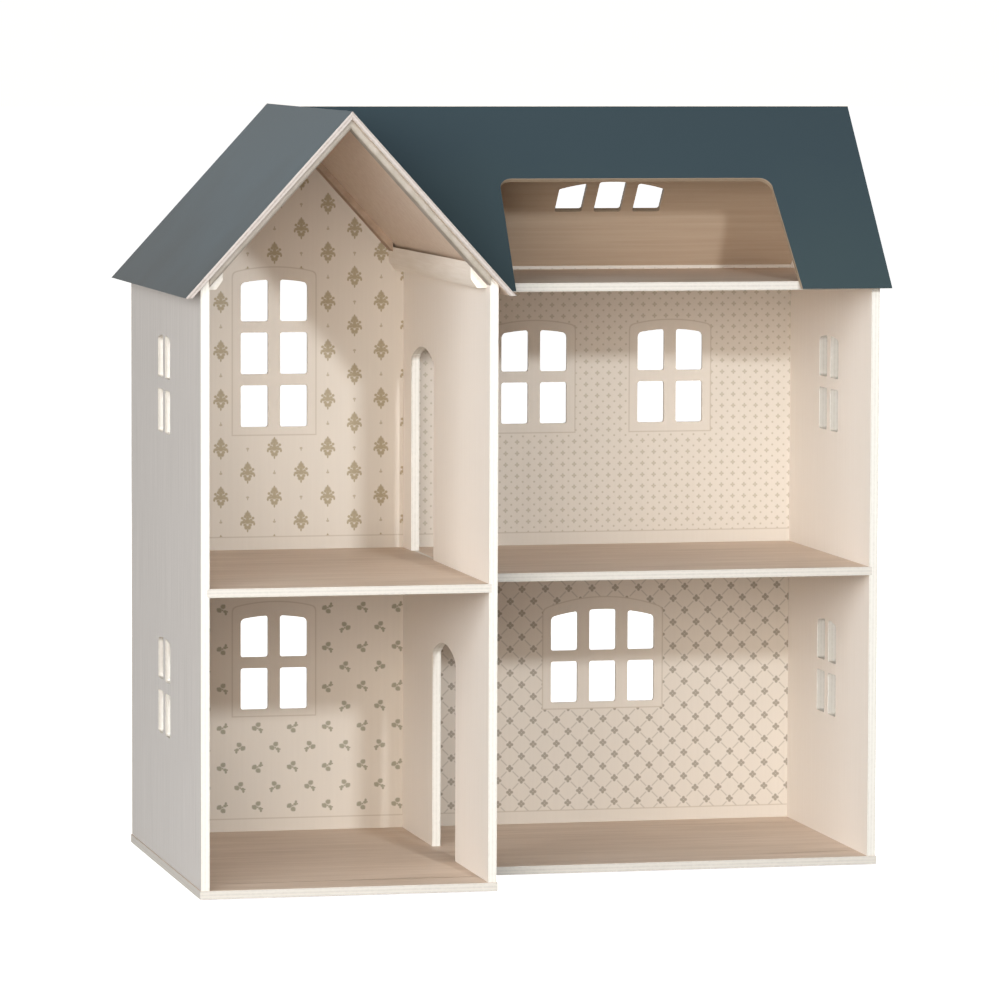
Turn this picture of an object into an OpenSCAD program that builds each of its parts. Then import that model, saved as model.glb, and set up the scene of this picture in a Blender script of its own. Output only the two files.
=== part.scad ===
// Wooden dollhouse with two wings, open at the front.
// The left wing stands forward under a gable, the right wing lies back under a roof that runs across.

/* [Walls and floors] */
// Width over the outer faces of the side walls
house_w = 670; // [560:1:800]
// Width of the left wing over its two walls
wing_w = 277; // [240:1:320]
// Depth of the left wing's walls, front edge to back edge
wing_d = 381; // [340:1:420]
// How far the right wing's front lies behind the left wing's
setback = 98; // [60:1:130]
// Thickness of the walls, floors and base
board_t = 8; // [6:0.5:9]
// Thickness of the back panels
back_t = 4; // [3:0.5:6]
// How far the base shows outside the walls
base_lip = 1; // [0:0.5:5]
// Height from the base board's top to the middle floor's underside
lower_storey_h = 269; // [262:1:275]
// Height from the middle floor's top to the attic floor's underside
upper_storey_h = 264; // [258:1:266]
// Depth of the grooves that hold the floors
groove_d = 2.5; // [1.5:0.1:3]

/* [Roof] */
// Height of both ridges above the ground
ridge_z = 719.4; // [690:0.1:760]
// Height of the eaves above the ground
eave_z = 550.3; // [545:0.1:552]
// Thickness of the roof panels
roof_t = 5; // [4:0.5:7]
// How far the gable's eaves reach past the walls
gable_eave = 15.5; // [10:0.5:18]
// How far the gable roof reaches past the front
gable_front = 7.5; // [3:0.5:12]
// How far the gable roof reaches past the walls at the back
gable_back = 29; // [15:1:30]
// How far the main roof's eave reaches past the right wing's front
main_eave = 15; // [12:1:18]
// How far the main roof reaches past the right wall
main_end = 8; // [4:0.5:12]
// Depth of the main roof, front eave to back eave
main_d = 314; // [310:1:320]

/* [Roof opening] */
// Distance from the centre wall to the opening's left side at the eave
hatch_x = 36; // [30:1:60]
// Width of the opening at the eave
hatch_w = 277; // [200:1:290]
// Height of the opening up the slope
hatch_h = 139; // [100:1:160]
// How far the left side leans in over that height
hatch_lean_left = 5; // [0:1:10]
// How far the right side leans in over that height
hatch_lean_right = 7; // [0:1:10]
// Radius of the opening's upper corners
hatch_r = 12; // [5:1:25]

/* [Windows and doorways] */
// Width of a pane
pane_w = 27; // [24:0.5:30]
// Height of a pane
pane_h = 40.6; // [36:0.1:44]
// Width of the bars between panes
bar_w = 12; // [8:0.5:14]
// Height of the bars between rows of panes
bar_h = 10.9; // [8:0.1:14]
// Rise of the shallow arch over a window two panes wide
window_rise = 3.3; // [2:0.1:7]
// Rise of the arch over a window three panes wide
wide_rise = 7.2; // [5:0.1:12]
// Rise of the arch over the skylight
skylight_rise = 10; // [6:0.5:12]
// Corner radius of a pane
pane_r = 2.5; // [1:0.5:4]
// Corner radius where an arch meets the window's side
arch_r = 5; // [2.5:0.5:7]
// Height of a window above its floor
sill_h = 120; // [110:1:130]
// Height of the left wall's upper window above its floor
left_upper_sill_h = 129; // [110:1:140]
// Middle of the left wall's windows, from the front edge
left_window_y = 197; // [150:1:240]
// Middle of the right wall's windows, from the left wing's front edge
right_window_y = 243; // [200:1:280]
// How far right of its room's middle a window of the left wing's back is
wing_window_shift = 1.7; // [-3:0.1:3]
// The same for the lower window of the right wing's back
wide_window_shift = 1.8; // [-3:0.1:3]
// Distance between the middles of the two upper back windows of the right wing
twin_gap = 138; // [120:1:180]
// Distance from the ridge to the skylight's lower edge, down the slope
skylight_s = 137.5; // [120:0.5:150]
// Middle of the skylight, from the centre wall
skylight_x = 183.5; // [150:0.5:240]
// Width of a doorway
door_w = 102; // [80:1:110]
// Height of a doorway at its middle
door_h = 202; // [180:1:220]
// Rise of the arch over a doorway
door_rise = 13; // [8:1:20]
// Radius of a doorway's upper corners
door_r = 6; // [2:1:12]
// Front side of the lower doorway, from the left wing's front edge
lower_door_y = 141; // [130:1:160]
// Front side of the upper doorway, from the left wing's front edge
upper_door_y = 241.5; // [220:0.5:250]

/* [Gable frame] */
// Thickness of the rafters under the gable roof
rafter_t = 6; // [4:0.5:8]
// Depth of the front rafters, front to back
front_rafter_d = 18; // [14:1:24]
// How far the front rafters stand out of the walls' front edges
front_rafter_out = 3; // [0:0.5:6]
// Radius of the front rafters' lower front edge
rafter_r = 3; // [1:0.5:4]
// Depth of the back rafters
back_rafter_d = 20; // [14:1:26]
// Width of the eave battens
batten_w = 15; // [12:1:20]
// Gap between an eave batten's top and the roof
batten_gap = 4.5; // [2:0.5:6]
// Height of the battens' underside above the attic floor's underside
batten_drop = 8; // [4:1:10]
// Width of the chamfer under a batten
chamfer_w = 6; // [2:1:8]
// Height of the chamfer under a batten
chamfer_h = 8.6; // [4:0.2:10]

/* [Fasteners] */
// Length of the base screws
screw_len = 25; // [20:1:35]
// Shank diameter of the base screws
screw_d = 3; // [2.5:0.5:3.5]
// Head diameter of the base screws
screw_head_d = 6; // [5:0.5:7]
// Length of the back panels' pins
pin_len = 14; // [10:1:20]
// Shank diameter of the pins
pin_d = 1.6; // [1.2:0.1:2]
// Head diameter of the pins
pin_head_d = 3; // [2.4:0.1:3.4]

/* [Hidden] */
$fn = 96;

// Where the pieces are, from the left wall's outer face and the left wing's front edge
centre_x = wing_w - board_t;
right_x = house_w - board_t;
back_y = wing_d + back_t;
mid_z = board_t + lower_storey_h;
upper_floor = mid_z + board_t;
attic_z = upper_floor + upper_storey_h;
attic_top = attic_z + board_t;
seam_x = wing_w - board_t / 2;

// The gable over the left wing
ridge_x = wing_w / 2;
gable_half = ridge_x + gable_eave;
gable_tan = (ridge_z - eave_z) / gable_half;
gable_a = atan(gable_tan);
gable_rise_t = roof_t / cos(gable_a);
gable_under_z = ridge_z - gable_rise_t;

// The roof over the right wing
main_front_y = setback - main_eave;
main_back_y = main_front_y + main_d;
main_ridge_y = main_front_y + main_d / 2;
main_tan = (ridge_z - eave_z) / (main_d / 2);
main_a = atan(main_tan);
main_rise_t = roof_t / cos(main_a);
main_under_z = ridge_z - main_rise_t;

// The whole house's outline, whose middle is the origin
house_front = -gable_front;
house_back = wing_d + gable_back;
house_left = -gable_eave;
house_right = house_w + main_end;

fit = 0.05;
far = 20;
screw_head_h = (screw_head_d - screw_d) / 2;
pin_head_h = 0.8;
slot_w = 0.8;

// Height of the gable roof's underside over a place across the house
function gable_under(x) = gable_under_z - abs(x - ridge_x) * gable_tan;

// Height of the main roof's underside over a place from front to back
function main_under(y) = main_under_z - abs(y - main_ridge_y) * main_tan;

// Puts the house's middle on the origin
module placed() {
    translate([-(house_left + house_right) / 2, -(house_front + house_back) / 2, 0]) children();
}

// Stands an outline up in the x-z plane, its thickness running from y0 to y1
module facing_front(y0, y1) {
    translate([0, y1, 0]) rotate([90, 0, 0]) linear_extrude(y1 - y0) children();
}

// Stands an outline up in the y-z plane, its thickness running from x0 to x1
module facing_side(x0, x1) {
    translate([x0, 0, 0]) rotate([90, 0, 90]) linear_extrude(x1 - x0) children();
}

// Radius of an arc that rises by a given amount over a half width
function arc_radius(half_w, rise) = (half_w * half_w + rise * rise) / (2 * rise);

// An upright opening from x0 to x1 under a shallow arch that spans twice half_w and peaks at h. Its two upper
// corners have their own radii, and foot is the radius of both lower ones
module arched_opening(x0, x1, h, half_w, rise, corners, foot) {
    arch = arc_radius(half_w, rise);
    arch_y = h - arch;
    intersection() {
        translate([0, arch_y]) circle(arch, $fn = 360);
        translate([x0 + corners[0], foot]) square([x1 - x0 - corners[0] - corners[1], h]);
    }
    for (end = [0, 1]) {
        inward = 1 - 2 * end;
        edge = end == 0 ? x0 : x1;
        side = edge + inward * corners[end];
        shoulder = arch_y + sqrt(pow(arch - corners[end], 2) - side * side);
        translate([side, shoulder]) circle(corners[end]);
        translate([side - corners[end], foot]) square([2 * corners[end], shoulder - foot]);
        if (foot > 0) translate([edge + inward * foot, foot]) circle(foot);
    }
    if (foot > 0) translate([x0 + foot, 0]) square([x1 - x0 - 2 * foot, 2 * foot]);
}

// A pane with four round corners, standing on the x axis
module plain_pane(x0) {
    translate([x0 + pane_r, 0]) square([pane_w - 2 * pane_r, pane_h]);
    translate([x0, pane_r]) square([pane_w, pane_h - 2 * pane_r]);
    for (x = [x0 + pane_r, x0 + pane_w - pane_r])
        for (z = [pane_r, pane_h - pane_r])
            translate([x, z]) circle(pane_r);
}

// All the panes of one window, its bottom middle on the origin, with an arch over the top row
module window_panes(columns, rows, rise, outer_r) {
    half_w = (columns * pane_w + (columns - 1) * bar_w) / 2;
    for (column = [0 : columns - 1]) {
        x0 = column * (pane_w + bar_w) - half_w;
        corners = [column == 0 ? outer_r : pane_r, column == columns - 1 ? outer_r : pane_r];
        if (rows > 1)
            for (row = [0 : rows - 2])
                translate([0, row * (pane_h + bar_h)]) plain_pane(x0);
        translate([0, (rows - 1) * (pane_h + bar_h)])
            arched_opening(x0, x0 + pane_w, pane_h, half_w, rise, corners, pane_r);
    }
}

// A doorway's outline, its front lower corner on the origin
module doorway() {
    half_w = door_w / 2;
    translate([half_w, 0])
        arched_opening(-half_w, half_w, door_h, half_w, door_rise, [door_r, door_r], 0);
}

// A countersunk screw that stands on its head, shrunk or grown all over by room
module screw_shape(room) {
    cylinder(h = screw_head_h + room, d1 = screw_head_d + 2 * room, d2 = screw_d + 2 * room);
    cylinder(h = screw_len + room, d = screw_d + 2 * room);
}

// A panel pin that stands on its head, grown all over by room
module pin_shape(room) {
    cylinder(h = pin_head_h + room, d = pin_head_d + 2 * room);
    cylinder(h = pin_len + room, d = pin_d + 2 * room);
}

// The places of the base screws: into the left, centre and right walls
module at_base_screws() {
    for (y = [40, wing_d / 2, wing_d - 40])
        translate([board_t / 2, y, 0]) children();
    for (y = [40, lower_door_y - 30, lower_door_y + door_w + 30, wing_d - 30])
        translate([centre_x + board_t / 2, y, 0]) children();
    for (y = [setback + 40, (setback + wing_d) / 2, wing_d - 40])
        translate([right_x + board_t / 2, y, 0]) children();
}

// The places of the pins, from behind: into the walls, the floors and the back rafters
module at_pins() {
    quarter = board_t / 4;
    for (z = [60, 150, 230, 350, 440, 530]) {
        from_behind(board_t / 2, z) children();
        from_behind(seam_x - quarter, z) children();
        from_behind(seam_x + quarter, z + 15) children();
        from_behind(right_x + board_t / 2, z) children();
    }
    for (x = [60, ridge_x, wing_w - 60])
        from_behind(x, mid_z + board_t / 2) children();
    for (x = [wing_w + 75, (wing_w + right_x) / 2, right_x - 75]) {
        from_behind(x, mid_z + board_t / 2) children();
        from_behind(x, attic_z + board_t / 2) children();
    }
    for (side = [-90, -35, 35, 90])
        from_behind(ridge_x + side, gable_under(ridge_x + side) - rafter_t / 2 / cos(gable_a)) children();
}

// Turns a fastener to point forward from the back panels' outer face
module from_behind(x, z) {
    translate([x, back_y, z]) rotate([90, 0, 0]) children();
}

// The left middle floor with a round edge at the left, where its groove shows in the wall
module left_floor_board() {
    facing_front(0, wing_d) {
        translate([board_t, mid_z]) square([centre_x - board_t + groove_d, board_t]);
        translate([board_t - groove_d, mid_z + groove_d]) square([groove_d, board_t - 2 * groove_d]);
        for (z = [mid_z + groove_d, mid_z + board_t - groove_d])
            translate([board_t, z]) circle(groove_d);
    }
}

// A floor of the right wing, let into the grooves of both walls
module right_floor_board(z) {
    translate([wing_w - groove_d, setback, z])
        cube([right_x - wing_w + 2 * groove_d, wing_d - setback, board_t]);
}

module base_board() {
    color("burlywood") placed() difference() {
        linear_extrude(board_t) polygon([
            [-base_lip, -base_lip],
            [wing_w + base_lip, -base_lip],
            [wing_w + base_lip, setback - base_lip],
            [house_w + base_lip, setback - base_lip],
            [house_w + base_lip, back_y + base_lip],
            [-base_lip, back_y + base_lip]
        ]);
        at_base_screws() translate([0, 0, -fit]) screw_shape(fit);
    }
}

module left_wall() {
    color("gainsboro") placed() difference() {
        facing_front(0, wing_d) polygon([
            [0, board_t],
            [board_t, board_t],
            [board_t, gable_under(board_t)],
            [0, gable_under(0)]
        ]);
        left_floor_board();
        facing_side(-far, board_t + far) {
            translate([left_window_y, board_t + sill_h]) window_panes(2, 2, window_rise, arch_r);
            translate([left_window_y, upper_floor + left_upper_sill_h]) window_panes(2, 2, window_rise, arch_r);
        }
        at_base_screws() screw_shape(fit);
        at_pins() pin_shape(fit);
    }
}

module centre_wall() {
    color("gainsboro") placed() difference() {
        facing_front(0, wing_d) polygon([
            [centre_x, board_t],
            [wing_w, board_t],
            [wing_w, gable_under(wing_w)],
            [centre_x, gable_under(centre_x)]
        ]);
        left_floor_board();
        right_floor_board(mid_z);
        right_floor_board(attic_z);
        facing_side(centre_x - far, wing_w + far) {
            translate([lower_door_y, board_t]) doorway();
            translate([upper_door_y, upper_floor]) doorway();
        }
        at_base_screws() screw_shape(fit);
        at_pins() pin_shape(fit);
    }
}

module right_wall() {
    color("gainsboro") placed() difference() {
        facing_side(right_x, house_w) polygon([
            [setback, board_t],
            [wing_d, board_t],
            [wing_d, main_under(wing_d)],
            [main_ridge_y, main_under_z],
            [setback, main_under(setback)]
        ]);
        right_floor_board(mid_z);
        right_floor_board(attic_z);
        facing_side(right_x - far, house_w + far) {
            translate([right_window_y, board_t + sill_h]) window_panes(2, 2, window_rise, arch_r);
            translate([right_window_y, upper_floor + sill_h]) window_panes(2, 2, window_rise, arch_r);
        }
        at_base_screws() screw_shape(fit);
        at_pins() pin_shape(fit);
    }
}

module left_back_panel() {
    color("tan") placed() difference() {
        facing_front(wing_d, back_y) polygon([
            [0, board_t],
            [seam_x, board_t],
            [seam_x, gable_under(seam_x)],
            [ridge_x, gable_under_z],
            [0, gable_under(0)]
        ]);
        facing_front(wing_d - far, back_y + far) {
            for (z = [board_t, upper_floor])
                translate([ridge_x + wing_window_shift, z + sill_h])
                    window_panes(2, z == board_t ? 2 : 3, window_rise, arch_r);
        }
        at_pins() translate([0, 0, -fit]) pin_shape(fit);
    }
}

module right_back_panel() {
    middle = (wing_w + right_x) / 2;
    color("tan") placed() difference() {
        facing_side(seam_x, house_w) polygon([
            [wing_d, board_t],
            [back_y, board_t],
            [back_y, main_under(back_y)],
            [wing_d, main_under(wing_d)]
        ]);
        // step under the gable roof's foot
        translate([seam_x - far, wing_d - far, attic_top])
            cube([wing_w + gable_eave - seam_x + far, back_t + 2 * far, far]);
        facing_front(wing_d - far, back_y + far) {
            translate([middle + wide_window_shift, board_t + sill_h])
                window_panes(3, 2, wide_rise, arch_r);
            for (side = [-1, 1])
                translate([middle + side * twin_gap / 2, upper_floor + sill_h])
                    window_panes(2, 2, window_rise, arch_r);
        }
        at_pins() translate([0, 0, -fit]) pin_shape(fit);
    }
}

module left_mid_floor() {
    color("burlywood") placed() difference() {
        left_floor_board();
        at_pins() pin_shape(fit);
    }
}

module right_mid_floor() {
    color("burlywood") placed() difference() {
        right_floor_board(mid_z);
        at_pins() pin_shape(fit);
    }
}

module attic_floor() {
    color("burlywood") placed() difference() {
        right_floor_board(attic_z);
        at_pins() pin_shape(fit);
    }
}

// One side of the gable roof: mitred at the ridge, cut level at the eave
module gable_panel(side) {
    foot = (gable_under_z - eave_z) / gable_tan;
    facing_front(house_front, house_back) polygon([
        [ridge_x, ridge_z],
        [ridge_x + side * gable_half, eave_z],
        [ridge_x + side * foot, eave_z],
        [ridge_x, gable_under_z]
    ]);
}

module gable_roof_left() {
    color("slategray") placed() gable_panel(-1);
}

// The right side is cut level on the attic floor, so its foot stands on it
module gable_roof_right() {
    color("slategray") placed() difference() {
        gable_panel(1);
        translate([wing_w, setback, attic_z - far])
            cube([gable_eave + far, back_y - setback, board_t + far]);
    }
}

// One side of the main roof, cut along the valley where it meets the gable roof
module main_panel(side) {
    eave_y = main_ridge_y + side * main_d / 2;
    foot_y = main_ridge_y + side * (main_under_z - eave_z) / main_tan;
    reach = gable_half + far;
    difference() {
        facing_side(ridge_x, house_right) polygon([
            [main_ridge_y, ridge_z],
            [eave_y, eave_z],
            [foot_y, eave_z],
            [main_ridge_y, main_under_z]
        ]);
        facing_front(house_front - far, house_back + far) polygon([
            [ridge_x - reach, ridge_z - reach * gable_tan],
            [ridge_x, ridge_z],
            [ridge_x + reach, ridge_z - reach * gable_tan]
        ]);
    }
}

// The roof opening's outline, up the slope from the eave, with round upper corners
module hatch_outline() {
    left_top = wing_w + hatch_x + hatch_lean_left;
    right_top = wing_w + hatch_x + hatch_w - hatch_lean_right;
    left_a = atan(hatch_lean_left / hatch_h);
    right_a = atan(hatch_lean_right / hatch_h);
    left_c = left_top + hatch_r * (1 - sin(left_a)) / cos(left_a);
    right_c = right_top - hatch_r * (1 - sin(right_a)) / cos(right_a);
    corner_y = hatch_h - hatch_r;
    below = far / hatch_h;
    translate([left_c, corner_y]) circle(hatch_r);
    translate([right_c, corner_y]) circle(hatch_r);
    polygon([
        [left_top - hatch_lean_left * (1 + below), -far],
        [right_top + hatch_lean_right * (1 + below), -far],
        [right_c + hatch_r * cos(right_a), corner_y + hatch_r * sin(right_a)],
        [right_c, hatch_h],
        [left_c, hatch_h],
        [left_c - hatch_r * cos(left_a), corner_y + hatch_r * sin(left_a)]
    ]);
}

module main_roof_front() {
    color("slategray") placed() difference() {
        main_panel(-1);
        translate([0, main_front_y, eave_z]) rotate([main_a, 0, 0])
            translate([0, 0, -far]) linear_extrude(2 * far) hatch_outline();
    }
}

module main_roof_back() {
    color("slategray") placed() difference() {
        main_panel(1);
        translate([wing_w + skylight_x, main_ridge_y, ridge_z]) rotate([180 - main_a, 0, 0])
            translate([0, -skylight_s, -far]) linear_extrude(2 * far)
                window_panes(3, 1, skylight_rise, pane_r);
    }
}

// A rafter's cross-section, with its lower front corner rounded where corner is above 0
module rafter_end(depth, corner) {
    translate([corner, 0]) square([depth - corner, rafter_t]);
    if (corner > 0) {
        translate([0, corner]) square([corner, rafter_t - corner]);
        translate([corner, corner]) circle(corner);
    }
}

// A board under one slope of the gable roof, from y0 to y1, ending in a plumb cut at end_x
module rafter(side, y0, y1, end_x, corner) {
    depth = y1 - y0;
    length = abs(end_x - ridge_x);
    translate([ridge_x, 0, gable_under_z]) intersection() {
        mirror([side < 0 ? 1 : 0, 0, 0])
            rotate([0, gable_a, 0])
                rotate([90, 0, 90])
                    translate([y0, -rafter_t, -far])
                        linear_extrude(length / cos(gable_a) + 2 * far) rafter_end(depth, corner);
        translate([side < 0 ? -length : 0, y0 - far, -gable_half * gable_tan - far])
            cube([length, depth + 2 * far, gable_half * gable_tan + 2 * far]);
    }
}

module front_rafter_left() {
    color("wheat") placed()
        rafter(-1, -front_rafter_out, front_rafter_d - front_rafter_out, board_t, rafter_r);
}

module front_rafter_right() {
    color("wheat") placed()
        rafter(1, -front_rafter_out, front_rafter_d - front_rafter_out, centre_x, rafter_r);
}

module back_rafter_left() {
    color("peru") placed() difference() {
        rafter(-1, wing_d - back_rafter_d, wing_d, board_t + batten_w, 0);
        at_pins() pin_shape(fit);
    }
}

module back_rafter_right() {
    color("peru") placed() difference() {
        rafter(1, wing_d - back_rafter_d, wing_d, centre_x - batten_w, 0);
        at_pins() pin_shape(fit);
    }
}

// A batten along a wall's top, behind the front rafter; wall_x is the wall's inner face
module batten(wall_x, side) {
    room_x = wall_x + side * batten_w;
    low_z = attic_z + batten_drop;
    facing_front(front_rafter_d - front_rafter_out, wing_d) polygon([
        [wall_x, low_z],
        [room_x - side * chamfer_w, low_z],
        [room_x, low_z + chamfer_h],
        [room_x, gable_under(room_x) - batten_gap],
        [wall_x, gable_under(wall_x) - batten_gap]
    ]);
}

module eave_batten_left() {
    color("wheat") placed() batten(board_t, 1);
}

module eave_batten_centre() {
    color("wheat") placed() batten(centre_x, -1);
}

module base_screws() {
    color("silver") placed() at_base_screws() difference() {
        screw_shape(0);
        for (turn = [0, 90])
            rotate([0, 0, turn])
                translate([-screw_d / 2, -slot_w / 2, -fit]) cube([screw_d, slot_w, slot_w + fit]);
    }
}

module back_pins() {
    color("silver") placed() at_pins() pin_shape(0);
}

base_board();
left_wall();
centre_wall();
right_wall();
left_back_panel();
right_back_panel();
left_mid_floor();
right_mid_floor();
attic_floor();
gable_roof_left();
gable_roof_right();
main_roof_front();
main_roof_back();
front_rafter_left();
front_rafter_right();
back_rafter_left();
back_rafter_right();
eave_batten_left();
eave_batten_centre();
base_screws();
back_pins();
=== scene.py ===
import math

import bpy
from mathutils import Matrix, Vector


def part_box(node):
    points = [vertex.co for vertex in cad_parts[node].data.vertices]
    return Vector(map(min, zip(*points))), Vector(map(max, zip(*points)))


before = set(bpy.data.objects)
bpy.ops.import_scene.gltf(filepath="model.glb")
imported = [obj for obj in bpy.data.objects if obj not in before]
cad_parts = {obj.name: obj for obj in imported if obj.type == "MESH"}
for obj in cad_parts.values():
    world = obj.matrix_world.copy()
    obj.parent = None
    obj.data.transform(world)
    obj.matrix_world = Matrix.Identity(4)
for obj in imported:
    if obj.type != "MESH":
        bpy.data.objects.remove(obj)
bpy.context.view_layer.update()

# ---- Camera ----
# A long lens stands well back, a little to the left of the house and just above its ridge, and looks down
# slightly. It is level but for a fifth of a degree.
MM = 0.001
eye = Vector((-1282.2, -5558.5, 819.2)) * MM
turn_right, tip_down, roll = (math.radians(a) for a in (12.93, 4.75, 0.21))
camera_data = bpy.data.cameras.new("camera")
camera_data.lens = 216
camera = bpy.data.objects.new("camera", camera_data)
camera.matrix_world = (
    Matrix.Translation(eye)
    @ Matrix.Rotation(-turn_right, 4, "Z")
    @ Matrix.Rotation(math.radians(90) - tip_down, 4, "X")
    @ Matrix.Rotation(roll, 4, "Z")
)
bpy.context.scene.collection.objects.link(camera)
bpy.context.scene.camera = camera
bpy.context.scene.view_settings.view_transform = "Standard"


# ---- Studio ----
# A white paper floor in a white room with a dim ceiling. Three big soft lights stand at the left: one low in
# front, one to the side and a weaker one far in front. A small one hangs in front at the right, above the
# roof, and a weak one stands behind the house.
def linear(colour):
    """Turns a "#rrggbb" colour into linear red, green and blue."""
    parts = [int(colour[i : i + 2], 16) / 255 for i in (1, 3, 5)]
    return [p / 12.92 if p <= 0.04045 else ((p + 0.055) / 1.055) ** 2.4 for p in parts]


def rgba(colour):
    """The same with an alpha of 1, as a colour socket takes it."""
    return (*linear(colour), 1)


def add(tree, kind, *inputs, out=0, **settings):
    """Adds a node, makes its settings, fills or links its inputs in order, and gives one of its outputs."""
    node = tree.nodes.new("ShaderNode" + kind)
    for name, value in settings.items():
        setattr(node, name, value)
    for socket, value in zip(node.inputs, inputs):
        if isinstance(value, bpy.types.NodeSocket):
            tree.links.new(value, socket)
        elif value is not None:
            socket.default_value = value
    return node.outputs[out]


def separate(tree, vector):
    """The x, y and z of a vector."""
    return add(tree, "SeparateXYZ", vector).node.outputs


def start_material(name, rough):
    """A new material with its tree and shader, whose roughness is set on the shader itself."""
    material = bpy.data.materials.new(name)
    material.use_nodes = True
    tree = material.node_tree
    shader = tree.nodes["Principled BSDF"]
    shader.inputs["Roughness"].default_value = rough
    return material, tree, shader


# The paper lies a little under the house and glows, so that it stays white under weak lights. It doesn't
# light the house from below.
paper_size, paper_depth, paper_glow = 40, 0.002, 0.93
paper_mesh = bpy.data.meshes.new("paper")
paper_mesh.from_pydata(
    [(x * paper_size, y * paper_size, -paper_depth) for x, y in ((-1, -1), (1, -1), (1, 1), (-1, 1))],
    [],
    [(0, 1, 2, 3)],
)
paper = bpy.data.objects.new("paper", paper_mesh)
paper.visible_diffuse = False
bpy.context.scene.collection.objects.link(paper)
paper_material, paper_tree, paper_shader = start_material("white_paper", rough=0.9)
paper_shader.inputs["Base Color"].default_value = rgba("#f7f7f7")
paper_shader.inputs["Specular IOR Level"].default_value = 0
paper_shader.inputs["Emission Color"].default_value = rgba("#ffffff")
paper_shader.inputs["Emission Strength"].default_value = paper_glow
paper_mesh.materials.append(paper_material)

# The room is white up to a little above eye level, where its dim ceiling begins. What it gives to the boards
# as soft fill is set by itself.
room_white, room_ceiling, room_fill = 1.05, 0.12, 0.15
ceiling_starts, ceiling_full = 0.3, 0.6
world = bpy.data.worlds.new("studio")
bpy.context.scene.world = world
world.use_nodes = True
room = world.node_tree
direction = add(room, "TexCoord")
up = separate(room, direction)[2]
walls_to_ceiling = add(room, "MapRange", up, ceiling_starts, ceiling_full, room_white, room_ceiling)
diffuse_ray = add(room, "LightPath", out=2)
brightness = add(room, "Mix", diffuse_ray, None, walls_to_ceiling, room_fill)
room.links.new(brightness, room.nodes["Background"].inputs["Strength"])
room.nodes["Background"].inputs["Color"].default_value = rgba("#fffdf9")


def soft_light(name, place, aim, width, watts, colour):
    """A square area light that stands at place and looks at aim, both in metres."""
    data = bpy.data.lights.new(name, "AREA")
    data.size = width
    data.energy = watts
    data.color = linear(colour)
    light = bpy.data.objects.new(name, data)
    light.location = place
    light.rotation_euler = (Vector(aim) - Vector(place)).to_track_quat("-Z", "Y").to_euler()
    bpy.context.scene.collection.objects.link(light)


house_middle = (0, 0, 0.35)
soft_light("key_light", (0.238, -2.751, 1.29), house_middle, 0.13, 44, "#ebf5ff")
soft_light("front_left_light", (-2.2, -4.2, 1.8), house_middle, 2.0, 47, "#f5f9ff")
soft_light("left_light", (-3.2, -2.6, 1.7), house_middle, 2.2, 93, "#f3f8ff")
soft_light("low_light", (-1.6, -3.8, 0.4), house_middle, 2.0, 127, "#fffcf9")
soft_light("back_light", (1.8, 3.2, 1.5), house_middle, 3.0, 22, "#ffffff")


# ---- Plywood ----
# Every board is birch plywood: pale cross-laid plies that show as fine lines on its cut edges, and a face
# veneer with long soft grain. What differs from board to board is the finish. Sizes are in millimetres.
PLY = 1.6
GRAIN_LONG, GRAIN_ACROSS = 90, 2.2
EASE = 0.35
WELD = 0.01


def millimetres(tree, corner):
    """The place on the surface in millimetres from corner, a point in metres."""
    place = add(tree, "TexCoord", out=3)
    scale, shift = (1 / MM,) * 3, tuple(-c / MM for c in corner)
    return add(tree, "VectorMath", place, scale, shift, operation="MULTIPLY_ADD")


def stretched_noise(tree, mm, sizes, detail=4):
    """Noise whose spots have the given sizes in millimetres along x, y and z; values about 0 to 1."""
    scaled = add(tree, "VectorMath", mm, tuple(1 / s for s in sizes), operation="MULTIPLY")
    return add(tree, "TexNoise", scaled, None, 1.0, detail, 0.6)


def edge_mask(tree, across):
    """1 on a board's cut edges and 0 on its two faces; across is the unit vector through the board."""
    normal = add(tree, "TexCoord", out=1)
    facing = add(tree, "VectorMath", normal, across, operation="DOT_PRODUCT", out=1)
    facing = add(tree, "Math", facing, operation="ABSOLUTE")
    return add(tree, "MapRange", facing, 0.75, 0.6, 0, 1)


def cut_plies(tree, mm, across, light, dark):
    """The plies on a cut edge: light and slightly darker layers, with a broken texture along them."""
    depth = add(tree, "VectorMath", mm, across, operation="DOT_PRODUCT", out=1)
    wave = add(tree, "Math", depth, math.pi / PLY, operation="MULTIPLY")
    wave = add(tree, "Math", wave, operation="SINE")
    fleck = stretched_noise(tree, mm, (3, 3, 3), 3)
    mixed = add(tree, "Math", wave, 0.25, fleck, operation="MULTIPLY_ADD")
    share = add(tree, "MapRange", mixed, 0.35, 0.85, 0, 1)
    return blend_colours(tree, share, rgba(light), rgba(dark))


def blend_colours(tree, share, first, second):
    """first where share is 0 and second where it is 1."""
    return add(
        tree, "Mix", share, None, None, None, None, None, first, second, data_type="RGBA", out=2
    )


def finish_board(material, tree, shader, mm, across, face, plies, bump, bump_mm):
    """Puts the face's colour on the faces, the plies on the edges and the bump on both."""
    edges = edge_mask(tree, across)
    colour = blend_colours(tree, edges, face, cut_plies(tree, mm, across, *plies))
    tree.links.new(colour, shader.inputs["Base Color"])
    relief = add(tree, "Bump", 1.0, bump_mm * MM, None, bump)
    tree.links.new(relief, shader.inputs["Normal"])
    return material


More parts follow.
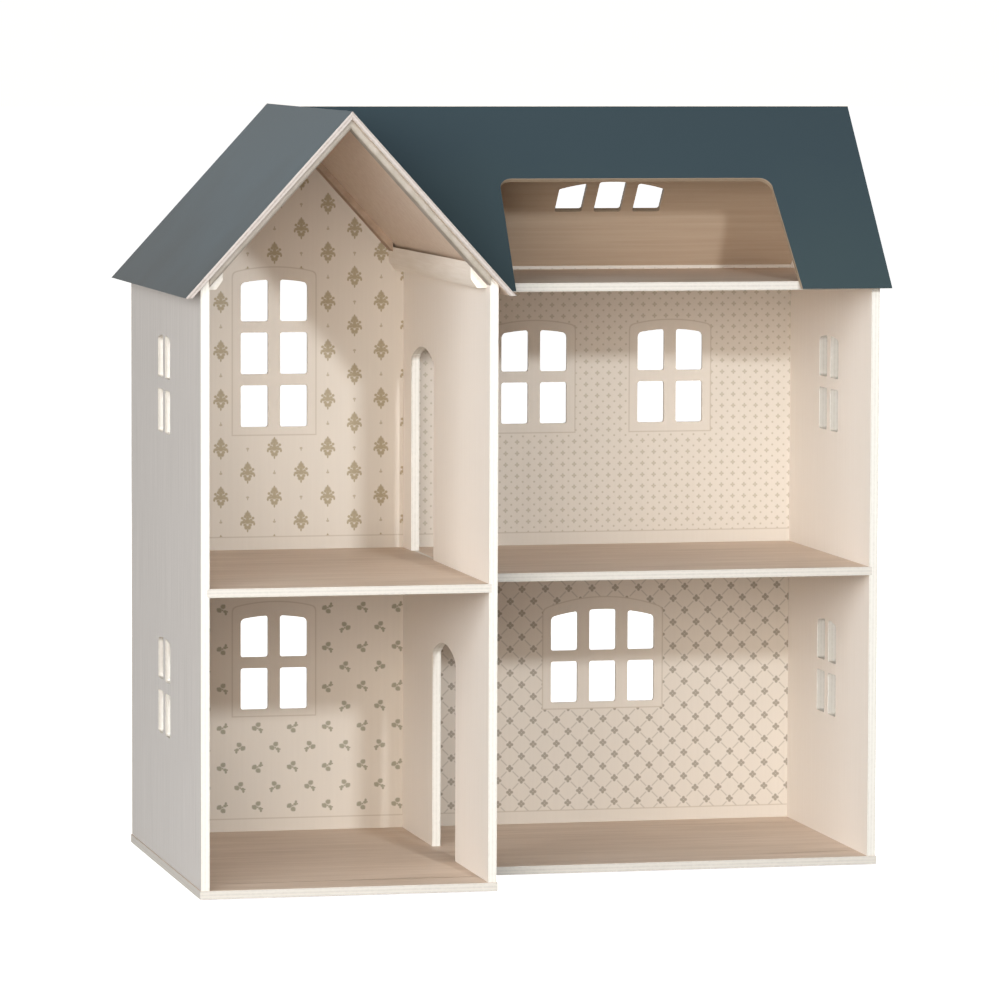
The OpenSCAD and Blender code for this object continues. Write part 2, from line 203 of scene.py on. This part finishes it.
def dress(node, material):
    """Gives a board its material and eases its edges, as sandpaper does."""
    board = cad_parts[node]
    board.data.materials.clear()
    board.data.materials.append(material)
    weld = board.modifiers.new("joined_corners", "WELD")
    weld.merge_threshold = WELD * MM
    ease = board.modifiers.new("sanded_edges", "BEVEL")
    ease.width = EASE * MM
    ease.segments = 2
    ease.limit_method = "ANGLE"
    ease.angle_limit = math.radians(40)
    ease.use_clamp_overlap = True
    flat = board.modifiers.new("flat_faces", "WEIGHTED_NORMAL")
    flat.mode = "FACE_AREA"
    flat.weight = 100


# ---- Base board and floors ----
# 8 mm birch plywood with a clear matt varnish. The grain runs across the house, and the veneer is a warm
# grey brown, a good deal darker than the printed walls.
FLOOR_LIGHT, FLOOR_MIDDLE, FLOOR_GRAIN = "#d4bfab", "#c3ac96", "#ab927c"
FLOOR_PLIES = "#c6beb2", "#b9b1a6"


def varnished_board(name, node):
    material, tree, shader = start_material(name, rough=0.55)
    mm = millimetres(tree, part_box(node)[0])
    broad = stretched_noise(tree, mm, (160, 14, 14))
    fine = stretched_noise(tree, mm, (GRAIN_LONG, GRAIN_ACROSS, GRAIN_ACROSS))
    share = add(tree, "MapRange", broad, 0.3, 0.7, 0, 1)
    light = blend_colours(tree, share, rgba(FLOOR_LIGHT), rgba(FLOOR_MIDDLE))
    dark_share = add(tree, "MapRange", fine, 0.5, 0.8, 0, 0.55)
    face = blend_colours(tree, dark_share, light, rgba(FLOOR_GRAIN))
    return finish_board(material, tree, shader, mm, (0, 0, 1), face, FLOOR_PLIES, fine, 0.08)


for floor in ("base_board", "left_mid_floor", "right_mid_floor", "attic_floor"):
    dress(floor, varnished_board("varnished_" + floor, floor))


# ---- Walls ----
# 8 mm birch plywood. The rooms' sides are printed in a warm off-white, and the outside is a cooler white that
# lets the upright grain show, made a good deal darker than the inside as painted shade. The cut edges are
# painted.
WALL_GRAIN = 2.5, 2.5, 110
INSIDE_GRAIN = "#dccfbd"
INSIDE_WHITE, SHADED_OUTSIDE_WHITE, SHADED_OUTSIDE_GRAIN = "#f0e7dc", "#c1b9b1", "#a9a198"
WALL_PLIES = "#d7d1c6", "#cdc6ba"


def printed_wall(name, node, outward):
    material, tree, shader = start_material(name, rough=0.5)
    mm = millimetres(tree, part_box(node)[0])
    grain = stretched_noise(tree, mm, WALL_GRAIN)
    shows = add(tree, "MapRange", grain, 0.4, 0.75, 0, 0.7)
    # The outside face is darker than the inside as painted shade, with its grain showing.
    shaded_outside = blend_colours(tree, shows, rgba(SHADED_OUTSIDE_WHITE), rgba(SHADED_OUTSIDE_GRAIN))
    faint = add(tree, "Math", shows, 0.25, operation="MULTIPLY")
    printed = blend_colours(tree, faint, rgba(INSIDE_WHITE), rgba(INSIDE_GRAIN))
    normal = add(tree, "TexCoord", out=1)
    outside = add(tree, "VectorMath", normal, (outward, 0, 0), operation="DOT_PRODUCT", out=1)
    outside = add(tree, "Math", outside, 0.5, operation="GREATER_THAN")
    face = blend_colours(tree, outside, printed, shaded_outside)
    return finish_board(material, tree, shader, mm, (1, 0, 0), face, WALL_PLIES, grain, 0.05)


for wall, outward in (("left_wall", -1), ("centre_wall", 0), ("right_wall", 1)):
    dress(wall, printed_wall("printed_" + wall, wall, outward))


# ---- Back panels ----
# 4 mm birch plywood, printed on its front with a wallpaper for each room, a plain skirting with a line over
# it, and a plain frame with a thin line round each window. The back is plain. Sizes are in millimetres.
FLOOR_BOARD = 8
SKIRTING = 12.5
LINE = 0.9
FRAME_SIDE, FRAME_CORNER = 8.5, 7
PANE_W, PANE_H, BAR_W, BAR_H, SILL = 27, 40.6, 12, 10.9, 120


def box_mm(node):
    """A node's lowest and highest corners in millimetres."""
    return [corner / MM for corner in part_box(node)]


def pattern_grid(tree, mm, first, step_x, step_z):
    """A brick-like grid: the place in the nearest cell, whether its row is odd, and its row and column."""
    away = add(tree, "VectorMath", mm, (first[0], 0, first[1]), operation="SUBTRACT")
    parts = separate(tree, away)
    row = add(tree, "Math", add(tree, "Math", parts[2], step_z, operation="DIVIDE"), operation="ROUND")
    odd = add(tree, "Math", row, 2, operation="FLOORED_MODULO")
    x = add(tree, "Math", odd, -step_x / 2, parts[0], operation="MULTIPLY_ADD")
    column = add(tree, "Math", add(tree, "Math", x, step_x, operation="DIVIDE"), operation="ROUND")
    cell_x = add(tree, "Math", column, -step_x, x, operation="MULTIPLY_ADD")
    cell_z = add(tree, "Math", row, -step_z, parts[2], operation="MULTIPLY_ADD")
    return cell_x, cell_z, odd, row, column


def blobs(tree, x, z, shapes):
    """How near a place is to a group of ellipses, each (x, z, half width, half height): 1 on the outline."""
    place = add(tree, "CombineXYZ", x, 0, z)
    nearest = None
    for cx, cz, half_w, half_h in shapes:
        scale, shift = (1 / half_w, 0, 1 / half_h), (-cx / half_w, 0, -cz / half_h)
        apart = add(tree, "VectorMath", place, scale, shift, operation="MULTIPLY_ADD")
        size = add(tree, "VectorMath", apart, operation="LENGTH", out=1)
        nearest = size if nearest is None else add(tree, "Math", nearest, size, operation="MINIMUM")
    return nearest


def ink(tree, nearness, softness=0.25):
    """1 inside a group of ellipses and 0 outside, with a soft edge."""
    return add(tree, "MapRange", nearness, 1 + softness, 1 - softness, 0, 1)


def flipped(tree, value, swap):
    """value, or its negative where swap is 1."""
    sign = add(tree, "Math", swap, -2, 1, operation="MULTIPLY_ADD")
    return add(tree, "Math", value, sign, operation="MULTIPLY")


def damask(tree, mm):
    """Fan-shaped palmettes in a brick-like grid, with a tiny trefoil between each two."""
    step_x, step_z = 53.05, 23.8
    x, z, odd = pattern_grid(tree, mm, (87.4, 383.7), step_x, step_z)[:3]
    half_x = add(tree, "Math", x, operation="ABSOLUTE")
    palmette = blobs(
        tree,
        half_x,
        z,
        [
            (0, 9.7, 0.9, 1.6), (0, 7.2, 2.8, 2.6), (2.4, 5.2, 1.5, 1.7), (0, 3.4, 1.8, 2.4),
            (3.4, 1.9, 1.5, 1.2), (5.3, 3.7, 1.4, 1.3), (0, 0.3, 3.6, 2.4), (4.4, -0.3, 2.6, 1.4),
            (6.5, -2, 1, 1.6), (2.6, -3, 1.7, 1.5), (1.4, -5.4, 1.9, 2.1), (0, -8.4, 0.8, 1.8),
        ],
    )
    between_x = add(tree, "Math", half_x, step_x / 2, operation="SUBTRACT")
    between_z = flipped(tree, z, odd)
    trefoil = blobs(tree, between_x, between_z, [(0, 0.2, 1.5, 1.1), (0, -1.2, 0.6, 1.6)])
    faint_trefoil = add(tree, "Math", ink(tree, trefoil), 0.7, operation="MULTIPLY")
    return add(tree, "Math", ink(tree, palmette, 0.3), faint_trefoil, operation="MAXIMUM")


def sprigs(tree, mm):
    """Two round blooms and a pair of leaves, turned over at every other place."""
    x, z, odd, row, column = pattern_grid(tree, mm, (88.8, 109.8), 34.9, 19.45)
    pair = add(tree, "Math", add(tree, "Math", row, 2, operation="DIVIDE"), operation="FLOOR")
    other = add(tree, "Math", add(tree, "Math", pair, column, operation="ADD"), 2, operation="FLOORED_MODULO")
    even = add(tree, "Math", 1, odd, operation="SUBTRACT")
    x = flipped(tree, x, add(tree, "Math", other, odd, operation="MULTIPLY"))
    z = flipped(tree, z, add(tree, "Math", even, other, operation="GREATER_THAN"))
    blooms = blobs(
        tree,
        x,
        z,
        [
            (0.7, 3.1, 2.5, 2.3), (2.1, 4.3, 1, 1), (-2.9, -0.3, 2.6, 2.3), (-4.6, 0.8, 1, 1),
            (-2, -1.8, 1, 1), (2.7, -1.7, 1.8, 1.4), (3.5, -3.8, 1.2, 1.6), (4.8, -2, 0.9, 0.8),
            (0.4, -0.5, 0.8, 0.8),
        ],
    )
    return ink(tree, blooms)


def florets(tree, mm):
    """Small four-petalled flowers in rows, with a dot in the middle of each four."""
    x, z, odd = pattern_grid(tree, mm, (453, 443.1), 11.57, 5.62)[:3]
    half_x = add(tree, "Math", x, operation="ABSOLUTE")
    half_z = add(tree, "Math", z, operation="ABSOLUTE")
    flower = blobs(tree, half_x, half_z, [(1.2, 0, 1.2, 0.9), (0, 1.2, 0.9, 1.2)])
    dot = blobs(tree, half_x, half_z, [(0, 0, 1, 1)])
    even = add(tree, "Math", 1, odd, operation="SUBTRACT")
    petals = add(tree, "Math", ink(tree, flower, 0.35), even, operation="MULTIPLY")
    dots = add(tree, "Math", ink(tree, dot, 0.35), odd, operation="MULTIPLY")
    return add(tree, "Math", petals, dots, operation="MAXIMUM")


def trellis(tree, mm):
    """A diamond net of broken lines, with a four-petalled flower at each crossing."""
    step = 11.85
    x, z = pattern_grid(tree, mm, (389.1, 241.2), 2 * step, step)[:2]
    half_x = add(tree, "Math", x, operation="ABSOLUTE")
    half_z = add(tree, "Math", z, operation="ABSOLUTE")
    flower = blobs(tree, half_x, half_z, [(1.9, 0, 1.7, 1.5), (0, 1.9, 1.5, 1.7)])
    off_line = add(tree, "Math", half_x, half_z, operation="SUBTRACT")
    off_line = add(tree, "Math", off_line, operation="ABSOLUTE")
    along = add(tree, "Math", half_x, half_z, operation="ADD")
    line = add(tree, "MapRange", off_line, 1.3, 0.5, 0, 1)
    dash = add(tree, "MapRange", along, 5.4, 6.4, 0, 0.5)
    net = add(tree, "Math", line, dash, operation="MULTIPLY")
    return add(tree, "Math", ink(tree, flower), net, operation="MAXIMUM")


def frame_distance(tree, mm, middle, low, columns, rows, rise, above, below):
    """Millimetres outside (above 0) or inside (below 0) the printed frame of one window.

    middle and low are the bottom middle of its glazing, above and below are how far the frame goes past it.
    """
    half_w = (columns * PANE_W + (columns - 1) * BAR_W) / 2 + FRAME_SIDE
    top = low + rows * PANE_H + (rows - 1) * BAR_H + above
    bottom = low - below
    arch = (half_w**2 + rise**2) / (2 * rise)
    away = add(tree, "VectorMath", mm, (middle, 0, 0), operation="SUBTRACT")
    parts = separate(tree, away)
    side = add(tree, "Math", add(tree, "Math", parts[0], operation="ABSOLUTE"), half_w, operation="SUBTRACT")
    under = add(tree, "Math", bottom, parts[2], operation="SUBTRACT")
    level = add(tree, "CombineXYZ", parts[0], 0, parts[2])
    over = add(tree, "VectorMath", level, (0, 0, top - arch), operation="DISTANCE", out=1)
    over = add(tree, "Math", over, arch, operation="SUBTRACT")
    over = add(tree, "Math", side, over, FRAME_CORNER, operation="SMOOTH_MAX")
    return add(tree, "Math", over, under, operation="MAXIMUM")


def thin_line(tree, distance):
    """1 on a printed line where distance is near 0."""
    return add(tree, "MapRange", add(tree, "Math", distance, operation="ABSOLUTE"), LINE, LINE * 0.3, 0, 1)


PRINT_COLOUR, PRINT_GRAIN, LINE_COLOUR = "#cbbfb0", "#c2b6a6", "#aa9984"
PANEL_PLIES = "#e2d8ca", "#d2c6b6"
panel_bottom = box_mm("left_back_panel")[0].z
upper_floor = box_mm("left_mid_floor")[1].z


def wallpapered_panel(name, node, corner_node, papers, windows):
    """A printed panel: papers are its lower and upper patterns with their ink, windows the printed frames."""
    material, tree, shader = start_material(name, rough=0.5)
    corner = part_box(corner_node)[0]
    mm = millimetres(tree, (corner.x, corner.y, 0))
    grain = stretched_noise(tree, mm, WALL_GRAIN)
    height = separate(tree, mm)[2]
    upstairs = add(tree, "Math", height, upper_floor - FLOOR_BOARD / 2, operation="GREATER_THAN")
    frames = None
    for window in windows:
        distance = frame_distance(tree, mm, *window)
        frames = distance if frames is None else add(tree, "Math", frames, distance, operation="MINIMUM")
    lower_line = add(tree, "Math", height, panel_bottom + SKIRTING, operation="SUBTRACT")
    upper_line = add(tree, "Math", height, upper_floor + SKIRTING, operation="SUBTRACT")
    skirting = add(tree, "Mix", upstairs, None, lower_line, upper_line)
    free = add(tree, "Math", frames, skirting, operation="MINIMUM")
    grain_shows = add(tree, "MapRange", grain, 0.35, 0.75, 0, 0.25)
    bare = blend_colours(tree, grain_shows, rgba(PRINT_COLOUR), rgba(PRINT_GRAIN))
    colours = []
    for pattern, ink_colour in papers:
        colours.append(blend_colours(tree, pattern(tree, mm), bare, rgba(ink_colour)))
    paper = blend_colours(tree, upstairs, *colours)
    printed = blend_colours(tree, add(tree, "MapRange", free, 0.2, 0.6, 0, 1), bare, paper)
    lines = thin_line(tree, free)
    lines = add(tree, "Math", lines, 0.6, operation="MULTIPLY")
    lined = blend_colours(tree, lines, printed, rgba(LINE_COLOUR))
    normal = add(tree, "TexCoord", out=1)
    front = add(tree, "VectorMath", normal, (0, -1, 0), operation="DOT_PRODUCT", out=1)
    front = add(tree, "Math", front, 0, operation="GREATER_THAN")
    face = blend_colours(tree, front, bare, lined)
    return finish_board(material, tree, shader, mm, (0, 1, 0), face, PANEL_PLIES, grain, 0.04)


OLIVE, SAGE, FAINT, MOSS = "#9a8a6c", "#918a75", "#b0a490", "#948979"
wing_left, room_left = box_mm("left_wall")[0].x, box_mm("centre_wall")[1].x
wing_middle = (room_left - wing_left) / 2
room_middle = (room_left + box_mm("right_wall")[0].x) / 2 - wing_left
WING_SHIFT, WIDE_SHIFT, TWIN_SHIFT = 1.7, 1.8, 69
wing_window, wide_window = wing_middle + WING_SHIFT, room_middle + WIDE_SHIFT
lower_sill, upper_sill = panel_bottom + SILL, upper_floor + SILL
dress(
    "left_back_panel",
    wallpapered_panel(
        "wallpapered_left_panel",
        "left_back_panel",
        "left_wall",
        [(sprigs, SAGE), (damask, OLIVE)],
        [(wing_window, lower_sill, 2, 2, 5.6, 13.8, 6.8), (wing_window, upper_sill, 2, 3, 5.3, 12.4, 8)],
    ),
)
dress(
    "right_back_panel",
    wallpapered_panel(
        "wallpapered_right_panel",
        "right_back_panel",
        "left_wall",
        [(trellis, MOSS), (florets, FAINT)],
        [
            (wide_window, lower_sill, 3, 2, 11.6, 12.4, 6.4),
            (room_middle - TWIN_SHIFT, upper_sill, 2, 2, 5.3, 9.6, 9.1),
            (room_middle + TWIN_SHIFT, upper_sill, 2, 2, 5.3, 9.6, 9.1),
        ],
    ),
)


# ---- Roof ----
# 5 mm birch plywood, sprayed a satin blue-grey on the outside only. The paint's colour shifts from eave to
# ridge: the gable's slopes are darker at the eave as painted shade, and the main roof is a little lighter at
# the eave as painted light. The inside is bare warm brown veneer, and the cut edges are pale.
def roof_board(name, node, across, veneer, paints_and_shade, plies):
    material, tree, shader = start_material(name, rough=0.45)
    shader.inputs["Specular IOR Level"].default_value = 0.2
    mm = millimetres(tree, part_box(node)[0])
    normal = add(tree, "TexCoord", out=1)
    outside = add(tree, "VectorMath", normal, across, operation="DOT_PRODUCT", out=1)
    outside = add(tree, "Math", outside, 0.5, operation="GREATER_THAN")
    orange_peel = stretched_noise(tree, mm, (1.2, 1.2, 1.2), 2)
    cloud = stretched_noise(tree, mm, (120, 120, 120), 2)
    height = separate(tree, mm)[2]
    # Painted shade: the paint goes from its eave colour to its ridge colour with height, with a cloudy edge
    # between them.
    eave_shade_height = add(tree, "Math", cloud, 160, height, operation="MULTIPLY_ADD")
    painted_eave_shade = add(tree, "MapRange", eave_shade_height, 60, 200, 0, 1)
    paint_and_shade = blend_colours(tree, painted_eave_shade, rgba(paints_and_shade[0]), rgba(paints_and_shade[1]))
    grain = stretched_noise(tree, mm, (130, 4, 4))
    grain_shows = add(tree, "MapRange", grain, 0.3, 0.75, 0, 1)
    bare = blend_colours(tree, grain_shows, rgba(veneer[0]), rgba(veneer[1]))
    face = blend_colours(tree, outside, bare, paint_and_shade)
    relief = add(tree, "Mix", outside, None, grain, orange_peel)
    return finish_board(material, tree, shader, mm, across, face, plies, relief, 0.04)


def slope_normal(node, side):
    """The unit vector straight out of a roof panel that slopes down towards side, an x, y direction."""
    low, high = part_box(node)
    run = (high.x - low.x) if side[0] else (high.y - low.y)
    rise = high.z - low.z
    return Vector((side[0] * rise, side[1] * rise, run)).normalized()


# Both are the same bare birch veneer: the gable's tone is lighter as painted light, and the attic's is darker
# as painted shade.
LIT_GABLE_VENEER = "#ddcab8", "#ceb7a2"
SHADED_ATTIC_VENEER = "#bfa991", "#b49c84"
GABLE_PLIES, ATTIC_PLIES = ("#b3a89f", "#9a8e84"), ("#9c8872", "#8a7762")
# Each pair is the paint at the eave and at the ridge; the difference between them is painted shade and
# painted light.
SIDE_PAINT_AND_SHADE, MAIN_PAINT_AND_SHADE = ("#202f35", "#364b54"), ("#3c494b", "#38454a")
for roof, side, veneer, paints_and_shade, plies in (
    ("gable_roof_left", (-1, 0), LIT_GABLE_VENEER, SIDE_PAINT_AND_SHADE, GABLE_PLIES),
    ("gable_roof_right", (1, 0), LIT_GABLE_VENEER, SIDE_PAINT_AND_SHADE, GABLE_PLIES),
    ("main_roof_front", (0, -1), SHADED_ATTIC_VENEER, MAIN_PAINT_AND_SHADE, ATTIC_PLIES),
    ("main_roof_back", (0, 1), SHADED_ATTIC_VENEER, MAIN_PAINT_AND_SHADE, ATTIC_PLIES),
):
    dress(roof, roof_board("sprayed_" + roof, roof, slope_normal(roof, side), veneer, paints_and_shade, plies))


# ---- Rafters and battens ----
# Sanded birch strips glued under the gable roof and along the tops of the walls. They have no finish, so they
# are pale and dull, with the grain along them. The front rafters are given a darker grey-brown, which is
# painted shade for their set-back front faces.
def sanded_strip(name, node, sizes, light, dark):
    material, tree, shader = start_material(name, rough=0.65)
    mm = millimetres(tree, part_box(node)[0])
    grain = stretched_noise(tree, mm, sizes)
    share = add(tree, "MapRange", grain, 0.3, 0.7, 0, 1)
    colour = blend_colours(tree, share, rgba(light), rgba(dark))
    tree.links.new(colour, shader.inputs["Base Color"])
    relief = add(tree, "Bump", 1.0, 0.05 * MM, None, grain)
    tree.links.new(relief, shader.inputs["Normal"])
    return material


# Painted shade: the front rafters' grey-brown is darker than bare birch, standing in for the shade on their
# set-back front faces.
for strip in ("front_rafter_left", "front_rafter_right"):
    dress(strip, sanded_strip("pale_" + strip, strip, (14, 14, 14), "#a2978b", "#8e8475"))
for strip in ("back_rafter_left", "back_rafter_right"):
    dress(strip, sanded_strip("brown_" + strip, strip, (20, 3, 20), "#b59c84", "#957c66"))
for strip in ("eave_batten_left", "eave_batten_centre"):
    dress(strip, sanded_strip("pale_" + strip, strip, (3, 60, 3), "#efe6da", "#e6dbcc"))


# ---- Screws and pins ----
# Zinc-plated steel: bright but blurred, with fine mottling. The screws go up through the base board into the
# walls, and the pins hold the back panels.
zinc, zinc_tree, zinc_shader = start_material("zinc_plated_steel", rough=0.38)
zinc_shader.inputs["Metallic"].default_value = 1
scratch = stretched_noise(zinc_tree, millimetres(zinc_tree, (0, 0, 0)), (0.4, 0.4, 0.4))
zinc_colour = blend_colours(zinc_tree, scratch, rgba("#b9bcbd"), rgba("#d4d5d3"))
zinc_tree.links.new(zinc_colour, zinc_shader.inputs["Base Color"])
for metal in ("base_screws", "back_pins"):
    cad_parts[metal].data.materials.clear()
    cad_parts[metal].data.materials.append(zinc)
